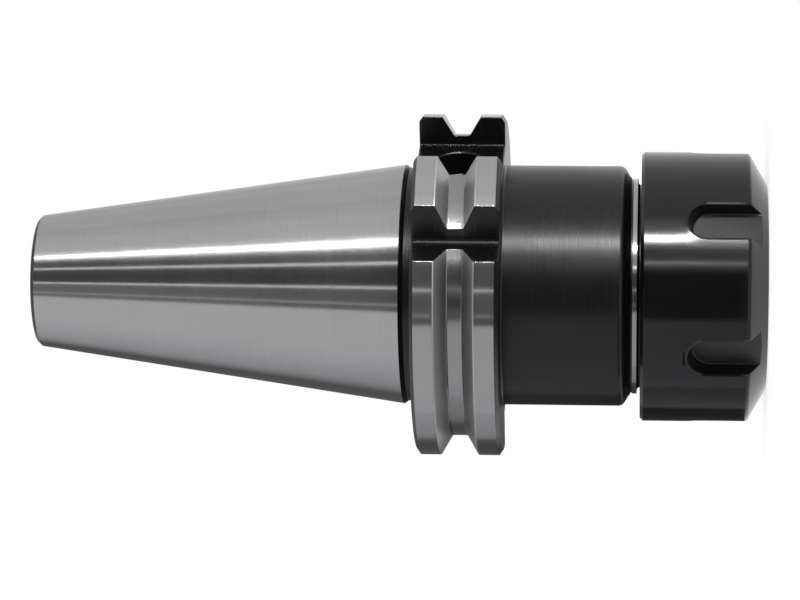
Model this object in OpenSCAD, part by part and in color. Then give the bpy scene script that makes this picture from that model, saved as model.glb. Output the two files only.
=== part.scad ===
// Collet chuck holder with a steep 7:24 taper shank, a grooved gripper flange and a slotted
// clamping nut. It stands on the nut's front face, with the shank upwards, in millimetres.
// The origin is the centre of the nut's front face, and +X is the side of the deep drive slot.

/* [Taper shank] */
// Shank diameter in the gauge plane
gauge_d = 44.45; // [42:0.05:47]
// Length of the shank from the gauge plane to its small end
shank_len = 68.4; // [60:0.1:76]
// How far the ground cone runs past the gauge plane, towards the flange
cone_overrun = 0.6; // [0.2:0.1:0.9]
// Chamfer at the small end of the shank
shank_chamfer = 0.7; // [0.3:0.1:1.5]
// Diameter of the plain pilot bore at the small end
pilot_d = 17; // [15.5:0.1:19]
// Depth of the pilot bore
pilot_len = 8; // [5:0.5:12]
// Core diameter of the thread for the pull stud
stud_core_d = 13.84; // [12:0.02:14.5]
// Length of the thread for the pull stud, behind the pilot bore
stud_thread_len = 28; // [20:0.5:31]
// Diameter of the coolant passage between the two threads
coolant_d = 8; // [5:0.5:10]

/* [Flange] */
// Distance from the gauge plane to the flange's rear face
flange_gap = 3.2; // [2.8:0.1:5]
// Thickness of the flange
flange_w = 15.9; // [15:0.1:19]
// Diameter of the flange
flange_d = 63.55; // [62:0.05:68]
// Diameter of the undercut neck between the shank and the flange
neck_d = 43.5; // [41:0.1:44]
// Distance from the flange's rear face to the middle of the gripper groove
groove_mid = 7.9; // [7.2:0.1:8.4]
// Diameter at the bottom of the gripper groove
groove_floor_d = 56.25; // [54.5:0.05:58]
// Width of the gripper groove at its bottom
groove_floor_w = 2.86; // [2:0.02:4]
// Angle between the two walls of the gripper groove
groove_angle = 60; // [50:1:64]
// Chamfer on the flange's two rims, measured along the radius
rim_chamfer_r = 1.0; // [0.4:0.1:1.4]
// Chamfer on the flange's two rims, measured along the axis
rim_chamfer_z = 0.7; // [0.3:0.1:1.2]
// Width of the two drive slots
drive_slot_w = 16.1; // [14:0.1:18]
// Distance from the axis to the floor of the deep drive slot
deep_slot_floor = 25; // [24:0.1:27]
// Distance from the axis to the floor of the shallow drive slot
shallow_slot_floor = 22.8; // [22.8:0.1:24]
// Diameter of the data carrier's hole in the floor of the deep drive slot
carrier_hole_d = 10; // [8:0.1:12]
// Depth of that hole below the floor
carrier_hole_depth = 4.6; // [3:0.1:5.5]
// Distance from the axis to each wall of the square indexing notch
notch_wall = 18.5; // [18:0.1:19.5]

/* [Chuck body] */
// Diameter of the body between the flange and the nut
body_d = 44.6; // [43:0.1:44.6]
// Length from the flange's front face to the ground land
body_len = 23.8; // [16:0.1:60]
// Radius of the rounding at the body's shoulder
shoulder_round = 1.5; // [0.8:0.1:1.6]
// Radius of the hollow below the shoulder
shoulder_hollow = 0.8; // [0.4:0.1:1]
// Slope of the shoulder, measured from the axis
shoulder_slope = 60; // [50:1:70]
// Width of the bright ground land
land_w = 0.9; // [0.5:0.1:2]
// Height of the step between the hollow and the land
land_step = 0.15; // [0.1:0.05:0.3]
// Outside diameter of the nut thread, and of the land
thread_d = 40; // [39.6:0.1:41]
// Length of the nose, from the land to its front face
nose_len = 16.3; // [14:0.1:16.5]
// Width of the relief between the land and the thread
relief_w = 1.6; // [1:0.1:2.5]
// Diameter of the relief
relief_d = 37.7; // [37:0.1:38.6]
// Chamfer at the front end of the nose thread
nose_chamfer = 1; // [0.5:0.1:1.4]

/* [Clamping nut] */
// Diameter of the nut
nut_d = 50; // [49.4:0.1:54]
// Length of the nut
nut_len = 23.1; // [22.7:0.1:24]
// Gap between the nut's rear face and the land
nut_gap = 0.6; // [0.4:0.1:1.2]
// Outside diameter of the nut's flat front face
nut_face_d = 38.2; // [36:0.1:40]
// Angle of the nut's front chamfer, measured from its front face
nut_chamfer_angle = 30; // [25:1:35]
// Radius of the edge between the nut's chamfer and its side
nut_edge_round = 0.8; // [0.4:0.1:1.2]
// Chamfer on the nut's rear rim
nut_rear_chamfer = 0.6; // [0.3:0.1:1]
// Number of spanner slots round the nut
spanner_slots = 6; // [4:1:8]
// Width of each spanner slot
spanner_slot_w = 7; // [6:0.1:8.5]
// Length of each spanner slot from the nut's front face
spanner_slot_len = 14.6; // [12:0.1:17]
// Distance from the axis to the floor of each spanner slot
spanner_slot_floor = 21.1; // [20.9:0.1:22]
// Turn of the first spanner slot from the +X axis, at rest
nut_turn = 27; // [0:1:60]
// Shift of the nut's pull-out lip to one side
lip_offset = 1.0; // [0.6:0.1:1.2]
// Radial room between the nut's pull-out lip and the collet's groove, on the near side
lip_clear = 0.3; // [0.2:0.05:0.5]

/* [Spring collet] */
// Largest diameter of the collet
collet_d = 33; // [32:0.1:33.4]
// Length of the collet
collet_len = 40; // [34:0.5:42]
// Angle between the collet's long taper and the axis
collet_angle = 8; // [7:0.5:9]
// Angle between the collet's short front taper and the axis
head_angle = 30; // [26:1:34]
// Length of the short front taper
head_cone_len = 2.7; // [2.2:0.1:3]
// Length of the plain rim behind the front taper
head_rim_len = 0.6; // [0.4:0.1:1]
// Width of the pull-out groove
pull_groove_w = 3.3; // [2.8:0.1:3.5]
// Diameter at the bottom of the pull-out groove
pull_groove_d = 29.2; // [28:0.1:30]
// Bore of the collet, which takes the tool
tool_d = 16; // [6:0.5:18]
// Number of slots cut from each end of the collet
collet_slots = 8; // [6:1:8]
// Width of each slot of the collet
collet_slot_w = 1.2; // [0.8:0.1:1.5]
// Length of solid ring left at the rear, past the front slots
rear_web = 6; // [4:0.5:8]
// Length left at the front, ahead of the rear slots
front_web = 9; // [8:0.5:12]
// How far the collet's front face lies behind the nut's front face
collet_recess = 0.4; // [0.3:0.1:0.6]

/* [Stop screw] */
// Outside diameter of the stop screw's thread
stop_d = 22; // [20:0.1:22.6]
// Length of the stop screw
stop_len = 14; // [10:0.5:15]
// Distance from the collet's rear end to the stop screw
stop_room = 11.6; // [9:0.1:13]
// Depth of the thread behind the stop screw
stop_spare = 6; // [5.5:0.5:8]
// Width across the flats of the stop screw's hexagon socket
hex_flats = 10; // [6:0.5:11]
// Depth of the hexagon socket
hex_depth = 7; // [5:0.5:8]
// Diameter of the coolant hole through the stop screw
stop_hole_d = 5; // [3:0.5:5.5]

/* [Fits] */
// Gap between the collet's taper and its seat, measured square to the seat
seat_clear = 0.1; // [0.05:0.01:0.2]
// Gap between the collet's head and the nut, measured square to the taper
head_clear = 0.15; // [0.1:0.01:0.2]
// Axial gap on each side of the nut's pull-out lip
lip_gap = 0.25; // [0.15:0.05:0.3]
// Radial gap between each outer thread and the thread that it runs in
thread_clear = 0.08; // [0.03:0.01:0.1]
// Small chamfer that breaks a turned edge
edge_break = 0.3; // [0.2:0.05:0.4]

/* [Hidden] */
$fn = 96;
// Past a face or rim that a cut runs through
over = 1;
// Straight pieces in each quarter turn of a rounding
arc_pieces = 6;
// Shank diameter lost for each millimetre of length, which is seven in twenty-four
taper_rate = 7 / 24;

// Heights above the nut's front face
land_low = nut_len + nut_gap;
land_top = land_low + land_w;
nose_end = land_low - nose_len;
flange_low = land_top + body_len;
flange_top = flange_low + flange_w;
gauge_z = flange_top + flange_gap;
shank_end = gauge_z + shank_len;
groove_z = flange_top - groove_mid;
collet_rear = collet_recess + collet_len;
stop_low = collet_rear + stop_room;
stop_top = stop_low + stop_len;

// Radii
flange_r = flange_d / 2;
body_r = body_d / 2;
land_r = thread_d / 2;
relief_r = relief_d / 2;
stop_r = stop_d / 2;
collet_r = collet_d / 2;
nut_r = nut_d / 2;
nut_face_r = nut_face_d / 2;
nut_chamfer_h = (nut_r - nut_face_r) * tan(nut_chamfer_angle);

// The collet's profile, along its length from the front face
head_rim_z = collet_recess + head_cone_len;
groove_front_z = head_rim_z + head_rim_len;
groove_rear_z = groove_front_z + pull_groove_w;
head_face_r = collet_r - head_cone_len * tan(head_angle);

function shank_r(z) = (gauge_d - (z - gauge_z) * taper_rate) / 2;
function collet_taper_r(z) = collet_r - (z - groove_rear_z) * tan(collet_angle);
function seat_r(z) = collet_taper_r(z) + seat_clear / cos(collet_angle);

// Points along a round stretch, from angle a to angle b
function arc(middle, r, a, b) =
    let (pieces = max(2, ceil(abs(b - a) / 90 * arc_pieces)))
    [for (i = [0 : pieces]) let (t = a + (b - a) * i / pieces) middle + r * [cos(t), sin(t)]];

// A profile of [radius, height] points turned round the axis
module turned(points) {
    rotate_extrude() polygon(points);
}

// The gripper groove's outline, from its front lip to its rear lip. Each wall leans by half the
// groove's angle, the floor's corners are hollowed and the lips are rounded.
groove_lip_round = 0.3;
groove_corner_round = 0.5;
function groove_outline() =
    let (
        lean = groove_angle / 2,
        turn = 90 - lean,
        floor_r = groove_floor_d / 2,
        floor_h = groove_floor_w / 2,
        lip_h = floor_h + (flange_r - floor_r) * tan(lean),
        lip = groove_lip_round,
        lip_reach = lip * tan(turn / 2),
        corner = groove_corner_round,
        corner_reach = corner * tan(turn / 2)
    )
    concat(
        arc([flange_r - lip, groove_z - lip_h - lip_reach], lip, 0, turn),
        arc([floor_r + corner, groove_z - floor_h + corner_reach], corner, 180 + turn, 180),
        arc([floor_r + corner, groove_z + floor_h - corner_reach], corner, 180, 180 - turn),
        arc([flange_r - lip, groove_z + lip_h + lip_reach], lip, -turn, 0)
    );

// The rounded shoulder between the land and the body, from the land upwards
function shoulder_outline() =
    let (
        slope = shoulder_slope,
        foot_r = land_r + land_step,
        hollow_r = foot_r + shoulder_hollow,
        hollow_end = [hollow_r - shoulder_hollow * cos(slope), land_top + shoulder_hollow * sin(slope)],
        round_start_r = body_r - shoulder_round * (1 - cos(slope)),
        round_z = hollow_end[1] + (round_start_r - hollow_end[0]) / tan(slope)
            + shoulder_round * sin(slope)
    )
    concat(
        arc([hollow_r, land_top], shoulder_hollow, 180, 180 - slope),
        arc([body_r - shoulder_round, round_z], shoulder_round, -slope, 0)
    );

body_fillet = 0.45;
neck_fillet = 0.4;
neck_chamfer_h = 0.9;
function body_outline() = concat(
    [
        [0, nose_end],
        [land_r - nose_chamfer, nose_end],
        [land_r, nose_end + nose_chamfer],
        [land_r, land_low - relief_w - (land_r - relief_r)],
        [relief_r, land_low - relief_w],
        [relief_r, land_low - edge_break],
        [relief_r + edge_break, land_low],
        [land_r, land_low],
        [land_r, land_top]
    ],
    shoulder_outline(),
    arc([body_r + body_fillet, flange_low - body_fillet], body_fillet, 180, 90),
    [
        [flange_r - rim_chamfer_r, flange_low],
        [flange_r, flange_low + rim_chamfer_z]
    ],
    groove_outline(),
    [
        [flange_r, flange_top - rim_chamfer_z],
        [flange_r - rim_chamfer_r, flange_top]
    ],
    arc([neck_d / 2 + neck_fillet, flange_top + neck_fillet], neck_fillet, 270, 180),
    [
        [neck_d / 2, gauge_z - cone_overrun - neck_chamfer_h],
        [shank_r(gauge_z - cone_overrun), gauge_z - cone_overrun],
        [shank_r(shank_end - shank_chamfer), shank_end - shank_chamfer],
        [shank_r(shank_end - shank_chamfer) - shank_chamfer, shank_end],
        [0, shank_end]
    ]
);

// The bore right through the body: collet seat, stop screw thread, coolant passage, pull stud
// thread and pilot. A drill leaves a cone at the end of each deeper bore.
drill_slope = tan(31);
seat_runout = 1;
function bore_outline() =
    let (
        seat_end = collet_rear + seat_runout,
        thread_r = stop_r + thread_clear,
        thread_end = stop_top + stop_spare,
        hole_r = coolant_d / 2,
        stud_r = stud_core_d / 2,
        stud_end = shank_end - pilot_len - stud_thread_len,
        pilot_r = pilot_d / 2
    )
    [
        [0, nose_end - over],
        [seat_r(nose_end - over), nose_end - over],
        [seat_r(seat_end), seat_end],
        [thread_r, seat_end + seat_r(seat_end) - thread_r],
        [thread_r, thread_end],
        [hole_r, thread_end + (thread_r - hole_r) * drill_slope],
        [hole_r, stud_end - (stud_r - hole_r) * drill_slope],
        [stud_r, stud_end],
        [stud_r, shank_end - pilot_len - edge_break],
        [stud_r + edge_break, shank_end - pilot_len],
        [pilot_r, shank_end - pilot_len],
        [pilot_r, shank_end - edge_break],
        [pilot_r + edge_break + over, shank_end + over],
        [0, shank_end + over]
    ];

// A drive slot, open outwards, towards +X
module drive_slot(floor_x) {
    reach = flange_r + over - floor_x;
    translate([floor_x, -drive_slot_w / 2, flange_low - over])
        cube([reach, drive_slot_w, flange_w + 2 * over]);
}

// The round hole for a data carrier in the deep drive slot's floor, across from the groove
module carrier_hole() {
    translate([deep_slot_floor - carrier_hole_depth, 0, groove_z])
        rotate([0, 90, 0])
            cylinder(d = carrier_hole_d, h = carrier_hole_depth + over);
}

// The square indexing notch between +X and -Y, whose corner is milled with a round tool
notch_corner_round = 0.8;
module indexing_notch() {
    reach = flange_r;
    translate([notch_wall, -notch_wall, flange_low - over])
        linear_extrude(flange_w + 2 * over)
            polygon(concat(
                [[reach, 0], [reach, -reach], [0, -reach]],
                arc([notch_corner_round, -notch_corner_round], notch_corner_round, 180, 90)
            ));
}

module holder_body() {
    color([0.6, 0.6, 0.61])
        difference() {
            turned(body_outline());
            turned(bore_outline());
            drive_slot(deep_slot_floor);
            carrier_hole();
            rotate(180) drive_slot(shallow_slot_floor);
            indexing_notch();
        }
}

function nut_outline() =
    let (
        turn = 90 - nut_chamfer_angle,
        reach = nut_edge_round * tan(turn / 2)
    )
    concat(
        [[0, 0], [nut_face_r, 0]],
        arc([nut_r - nut_edge_round, nut_chamfer_h + reach], nut_edge_round, -turn, 0),
        [
            [nut_r, nut_len - nut_rear_chamfer],
            [nut_r - nut_rear_chamfer, nut_len],
            [0, nut_len]
        ]
    );

// The nut's inside, from its mouth: the clamping cone round the collet's head, the pocket of the
// head, the thread past the lip and the counterbore at the rear
counterbore_len = 1.1;
function nut_bore_outline() =
    let (
        mouth_r = head_face_r + head_clear / cos(head_angle),
        pocket_r = collet_r + head_clear * 2,
        cone_end = collet_recess + (pocket_r - mouth_r) / tan(head_angle),
        thread_r = land_r + thread_clear,
        rear_r = thread_r + edge_break
    )
    [
        [0, -over],
        [mouth_r, -over],
        [mouth_r, collet_recess],
        [pocket_r, cone_end],
        [pocket_r, groove_front_z + lip_gap],
        [0, groove_front_z + lip_gap],
        [0, groove_rear_z - lip_gap],
        [thread_r, groove_rear_z - lip_gap],
        [thread_r, nut_len - counterbore_len - edge_break],
        [rear_r, nut_len - counterbore_len],
        [rear_r, nut_len + over],
        [0, nut_len + over]
    ];

// A spanner slot towards +X, with a flat floor and a round end
module spanner_slot() {
    end_r = spanner_slot_w / 2;
    reach = nut_r + over - spanner_slot_floor;
    translate([spanner_slot_floor, -end_r, -over])
        cube([reach, spanner_slot_w, spanner_slot_len - end_r + over]);
    translate([spanner_slot_floor, 0, spanner_slot_len - end_r])
        rotate([0, 90, 0])
            cylinder(r = end_r, h = reach);
}

// The lip stands off the axis, so that the collet can be tilted in and is drawn out with the nut
module lip_hole() {
    lip_r = pull_groove_d / 2 + lip_clear + lip_offset;
    translate([lip_offset, 0, groove_front_z])
        cylinder(r = lip_r, h = pull_groove_w);
}

module clamping_nut() {
    color([0.13, 0.13, 0.14])
        rotate(nut_turn)
            difference() {
                turned(nut_outline());
                turned(nut_bore_outline());
                lip_hole();
                for (i = [0 : spanner_slots - 1])
                    rotate(i * 360 / spanner_slots) spanner_slot();
            }
}

function collet_outline() =
    let (bore_r = tool_d / 2)
    [
        [bore_r, collet_recess + edge_break],
        [bore_r + edge_break, collet_recess],
        [head_face_r, collet_recess],
        [collet_r, head_rim_z],
        [collet_r, groove_front_z],
        [pull_groove_d / 2, groove_front_z],
        [pull_groove_d / 2, groove_rear_z],
        [collet_r - edge_break, groove_rear_z],
        [collet_taper_r(groove_rear_z + edge_break), groove_rear_z + edge_break],
        [collet_taper_r(collet_rear - edge_break), collet_rear - edge_break],
        [collet_taper_r(collet_rear) - edge_break, collet_rear],
        [bore_r + edge_break, collet_rear],
        [bore_r, collet_rear - edge_break]
    ];

// One slot of the collet towards +X, between two heights
module collet_slot(low, high) {
    translate([0, -collet_slot_w / 2, low])
        cube([collet_r + over, collet_slot_w, high - low]);
}

module spring_collet() {
    step = 360 / collet_slots;
    color([0.72, 0.72, 0.73])
        difference() {
            turned(collet_outline());
            for (i = [0 : collet_slots - 1]) {
                rotate(i * step)
                    collet_slot(collet_recess - over, collet_rear - rear_web);
                rotate((i + 0.5) * step)
                    collet_slot(collet_recess + front_web, collet_rear + over);
            }
        }
}

// The hollow stop screw that the tool's shank bears on, with its socket towards the collet
module stop_screw() {
    color([0.2, 0.2, 0.21])
        difference() {
            turned([
                [0, stop_low],
                [stop_r - edge_break, stop_low],
                [stop_r, stop_low + edge_break],
                [stop_r, stop_top - edge_break],
                [stop_r - edge_break, stop_top],
                [0, stop_top]
            ]);
            translate([0, 0, stop_low - over])
                cylinder(d = hex_flats / cos(30), h = hex_depth + over, $fn = 6);
            translate([0, 0, stop_low])
                cylinder(d = stop_hole_d, h = stop_len + over);
        }
}

holder_body();
clamping_nut();
spring_collet();
stop_screw();
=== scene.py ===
# A collet chuck holder: a ground 7:24 shank with a grooved flange, and a blackened chuck body
# that carries a slotted clamping nut. It stands on the nut's front face, as on a shelf.
import math

import bmesh
import bpy
import numpy as np
from mathutils import Matrix, Vector


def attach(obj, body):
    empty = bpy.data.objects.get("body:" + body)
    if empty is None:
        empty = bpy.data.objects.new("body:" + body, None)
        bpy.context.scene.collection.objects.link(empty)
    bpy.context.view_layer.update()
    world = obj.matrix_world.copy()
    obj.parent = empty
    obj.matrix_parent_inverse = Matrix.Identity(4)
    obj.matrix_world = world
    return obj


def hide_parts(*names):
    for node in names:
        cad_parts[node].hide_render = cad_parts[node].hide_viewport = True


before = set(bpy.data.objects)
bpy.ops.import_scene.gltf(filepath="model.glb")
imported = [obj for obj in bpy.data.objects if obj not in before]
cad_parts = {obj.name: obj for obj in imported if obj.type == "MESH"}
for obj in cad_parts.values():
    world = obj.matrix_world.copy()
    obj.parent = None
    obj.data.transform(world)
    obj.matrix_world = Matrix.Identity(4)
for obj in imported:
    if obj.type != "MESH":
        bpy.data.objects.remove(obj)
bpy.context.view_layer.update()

# THE HOLDER
# One bar of case-hardening steel, turned between centres and blackened all over, from the nose
# to the shank's small end. The drive slots and the notch in its flange are milled. Last, the
# shank, the flange's rims and groove, the land and the collet's seat are ground bright.

MM = 0.001
# Points in a full circle
ROUND = 288
# The holder's finishes: ground, black, the groove's floor, and its walls, paler than the floor as
# painted light
BRIGHT, BLACK, TURNED, FLANK_PAINTED_LIGHT = 0, 1, 2, 3

# Heights above the nut's front face, in mm
NOSE_Z, LAND_Z, LAND_TOP_Z = 7.4, 23.7, 24.6
FLANGE_LOW, FLANGE_TOP, GROOVE_Z = 48.4, 64.3, 56.4
GAUGE_Z, SHANK_END = 67.5, 135.9
SEAT_LOW, SEAT_END, STOP_BORE_LOW, STOP_BORE_TOP = 8.0, 41.4, 42.1, 72.0
COOLANT_LOW, COOLANT_TOP, STUD_LOW, STUD_TOP, PILOT_LOW = 76.25, 98.1, 100.4, 127.5, 128.0
# Radii
FLANGE_R, GROOVE_R, BODY_R, NECK_R, LAND_R = 31.775, 28.125, 22.3, 21.75, 20.0
LAND_FOOT_R, RELIEF_R, NOSE_ROOT_R, NOSE_FACE_R, SEAT_MOUTH_R = 19.84, 18.85, 19.08, 18.4, 16.75
STOP_BORE_R, STUD_BORE_R, PILOT_R, COOLANT_R = 11.08, 8.0, 8.5, 4.0
# Radii of the shank in the gauge plane, and of the collet's seat at the height after it
GAUGE_R, SEAT_R, SEAT_Z = 22.225, 16.601, 7.0
# What is milled into the flange, by its distance from the axis, and the data carrier's hole
SLOT_HALF, DEEP_FLOOR, SHALLOW_FLOOR = 8.05, 25.0, 22.8
NOTCH_WALL, NOTCH_ROUND = 18.5, 0.8
CARRIER_R, CARRIER_DEPTH = 5.0, 4.6
# Broken edges, fillets and roundings
LIP_BREAK, RIM_BREAK_R, RIM_BREAK_Z = 0.2, 1.0, 0.7
SHOULDER_HOLLOW, SHOULDER_ROUND, BODY_FILLET, NECK_FILLET = 0.8, 1.5, 0.45, 0.4
END_CHAMFER, BORE_BREAK = 0.7, 0.3


def shaded(name):
    """A new material, its tree and its main shader."""
    made = bpy.data.materials.new(name)
    made.use_nodes = True
    return made, made.node_tree, made.node_tree.nodes["Principled BSDF"]


def node(tree, kind, values=None, **settings):
    """A node with its settings, and with a value or a link for each named input."""
    made = tree.nodes.new(kind)
    for key, value in settings.items():
        setattr(made, key, value)
    for key, value in (values or {}).items():
        socket = made.inputs[key]
        if isinstance(value, bpy.types.NodeSocket):
            tree.links.new(value, socket)
        else:
            socket.default_value = value
    return made


def turned_finish(name, dark, light, rough, ring_scale, ring_depth, ior=None, brushed=0.0):
    """Steel that was turned or ground: two tones, an uneven polish and fine rings. It is bare
    metal, or with an index of refraction the dark skin that blackening leaves."""
    made, tree, shader = shaded(name)
    place = node(tree, "ShaderNodeTexCoord").outputs["Object"]
    parts = node(tree, "ShaderNodeSeparateXYZ", {0: place})
    flat = node(tree, "ShaderNodeCombineXYZ", {0: parts.outputs[0], 1: parts.outputs[1]})
    out = node(tree, "ShaderNodeVectorMath", {0: flat.outputs[0]}, operation="LENGTH")
    # A pattern on the distance from the axis and the height runs in rings
    ringed = node(tree, "ShaderNodeCombineXYZ", {0: out.outputs["Value"], 1: parts.outputs[2]})
    rings = node(
        tree, "ShaderNodeTexNoise",
        {"Vector": ringed.outputs[0], "Scale": ring_scale, "Detail": 3.0, "Roughness": 0.65},
    ).outputs[0]
    cloud = node(
        tree, "ShaderNodeTexNoise",
        {"Vector": place, "Scale": 70.0, "Detail": 4.0, "Roughness": 0.6},
    ).outputs[0]
    both = node(tree, "ShaderNodeMath", {0: rings, 1: cloud}, operation="ADD").outputs[0]
    tones = node(
        tree, "ShaderNodeMapRange", {"Value": both, "From Min": 0.7, "From Max": 1.3}
    ).outputs[0]
    ramp = node(tree, "ShaderNodeValToRGB", {0: tones})
    ramp.color_ramp.elements[0].color = (*dark, 1)
    ramp.color_ramp.elements[1].color = (*light, 1)
    tree.links.new(ramp.outputs[0], shader.inputs["Base Color"])
    polish = node(
        tree, "ShaderNodeMapRange",
        {"Value": both, "From Min": 0.7, "From Max": 1.3, "To Min": rough[0], "To Max": rough[1]},
    )
    tree.links.new(polish.outputs[0], shader.inputs["Roughness"])
    bump = node(
        tree, "ShaderNodeBump", {"Height": rings, "Strength": ring_depth, "Distance": 0.02 * MM}
    )
    tree.links.new(bump.outputs[0], shader.inputs["Normal"])
    if brushed:
        # The rings spread a reflection along the axis and leave it sharp round the axis
        shader.inputs["Anisotropic"].default_value = brushed
        shader.inputs["Anisotropic Rotation"].default_value = 0.25
        around = node(tree, "ShaderNodeTangent", direction_type="RADIAL", axis="Z")
        tree.links.new(around.outputs[0], shader.inputs["Tangent"])
    if ior is None:
        shader.inputs["Metallic"].default_value = 1.0
    else:
        shader.inputs["IOR"].default_value = ior
    return made


ground_steel = turned_finish(
    "ground_steel", dark=(0.33, 0.33, 0.33), light=(0.362, 0.362, 0.362), rough=(0.19, 0.23),
    ring_scale=4200.0, ring_depth=0.08, brushed=1.0,
)
groove_steel = turned_finish(
    "turned_groove_steel", dark=(0.22, 0.22, 0.22), light=(0.26, 0.26, 0.26),
    rough=(0.17, 0.21), ring_scale=4200.0, ring_depth=0.15,
)
# the groove's walls: the floor's turned steel made rougher, and paler as painted light for the
# light they catch
flank_painted_light = turned_finish(
    "flank_painted_light_steel", dark=(0.36, 0.36, 0.36), light=(0.41, 0.41, 0.41),
    rough=(0.3, 0.38), ring_scale=4200.0, ring_depth=0.15,
)
black_body = turned_finish(
    "black_oxide_body", dark=(0.003, 0.003, 0.003), light=(0.006, 0.006, 0.0062),
    rough=(0.24, 0.34), ring_scale=2600.0, ring_depth=0.35, ior=1.36,
)


def arc(centre, r, a, b, pieces):
    """Points [radius, height] along a round stretch, from angle a to angle b in degrees."""
    turn = np.radians(np.linspace(a, b, pieces + 1))
    return np.stack([centre[0] + r * np.cos(turn), centre[1] + r * np.sin(turn)], 1).tolist()


def circle(r, z, count):
    """Points round the axis, at one radius or at a radius for each of them."""
    turn = np.linspace(0, 2 * math.pi, count, endpoint=False)
    return np.stack([r * np.cos(turn), r * np.sin(turn), np.full(count, z)], 1)


def skin(bm, rows, finishes=None, closed=True):
    """Faces between successive rows of points in mm, with one finish for each strip."""
    made = [[bm.verts.new(np.asarray(p) * MM) for p in row] for row in rows]
    count = len(made[0])
    for k, (low, high) in enumerate(zip(made, made[1:])):
        for i in range(count if closed else count - 1):
            j = (i + 1) % count
            face = bm.faces.new((low[i], low[j], high[j], high[i]))
            face.material_index = finishes[k] if finishes else 0
    return made


def finished(name, bm, materials, body, replaced=None, crease=32.0):
    """The piece as an object: doubles merged, smooth but for its edges, riding on its body."""
    bmesh.ops.remove_doubles(bm, verts=bm.verts, dist=1e-7)
    bmesh.ops.dissolve_degenerate(bm, edges=bm.edges, dist=1e-8)
    for face in bm.faces:
        face.smooth = True
    mesh = bpy.data.meshes.new(name)
    bm.to_mesh(mesh)
    bm.free()
    mesh.set_sharp_from_angle(angle=math.radians(crease))
    for material in materials:
        mesh.materials.append(material)
    piece = bpy.data.objects.new(name, mesh)
    bpy.context.scene.collection.objects.link(piece)
    weigh = piece.modifiers.new("face_weights", "WEIGHTED_NORMAL")
    weigh.keep_sharp = True
    weigh.weight = 100
    weighed = bpy.data.meshes.new_from_object(
        piece.evaluated_get(bpy.context.evaluated_depsgraph_get())
    )
    piece.modifiers.remove(weigh)
    piece.data = weighed
    weighed.name = name
    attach(piece, body)
    if replaced:
        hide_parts(replaced)
    return piece


def shank_r(z):
    """The shank's radius at a height, on its 7:24 cone."""
    return GAUGE_R - (z - GAUGE_Z) * 7 / 48


def seat_r(z):
    """The radius of the collet's seat at a height, on its 8 degree cone."""
    return SEAT_R - (z - SEAT_Z) * math.tan(math.radians(8))


def stretches(*runs):
    """A profile from its stretches, each with its finish: the points and the strips' finishes."""
    points = [point for run, _ in runs for point in run]
    finishes = [finish for run, finish in runs for _ in run]
    return points, finishes[:-1]


def groove_outline():
    """The gripper groove from its lower lip to its upper one, with walls 60 degrees apart."""
    lean = math.radians(30)
    lip, corner, floor_h = 0.3, 0.5, 1.43
    lip_h = floor_h + (FLANGE_R - GROOVE_R) * math.tan(lean)
    lip_reach, corner_reach = lip * math.tan(lean), corner * math.tan(lean)
    return (
        arc((FLANGE_R - lip, GROOVE_Z - lip_h - lip_reach), lip, 0, 60, 5)
        + arc((GROOVE_R + corner, GROOVE_Z - floor_h + corner_reach), corner, 240, 180, 5)
        + arc((GROOVE_R + corner, GROOVE_Z + floor_h - corner_reach), corner, 180, 120, 5)
        + arc((FLANGE_R - lip, GROOVE_Z + lip_h + lip_reach), lip, -60, 0, 5)
    )


def slot_floor(a, b, pieces=8, corner=0.4):
    """A drive slot's floor from wall to wall, with a small radius in each corner."""
    a, b = Vector(a), Vector(b)
    along = (b - a).normalized()
    out = Vector((math.copysign(1, a.x), 0))
    bend = [math.radians(t) for t in (0, 30, 60, 90)]
    line = [a + corner * (along * (1 - math.cos(t)) + out * (1 - math.sin(t))) for t in bend]
    step = ((b - a).length - 2 * corner) / pieces
    line += [a + along * (corner + step * k) for k in range(1, pieces)]
    line += [b + corner * (out * (1 - math.sin(t)) - along * (1 - math.cos(t))) for t in bend[::-1]]
    return [tuple(p) for p in line]


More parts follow.
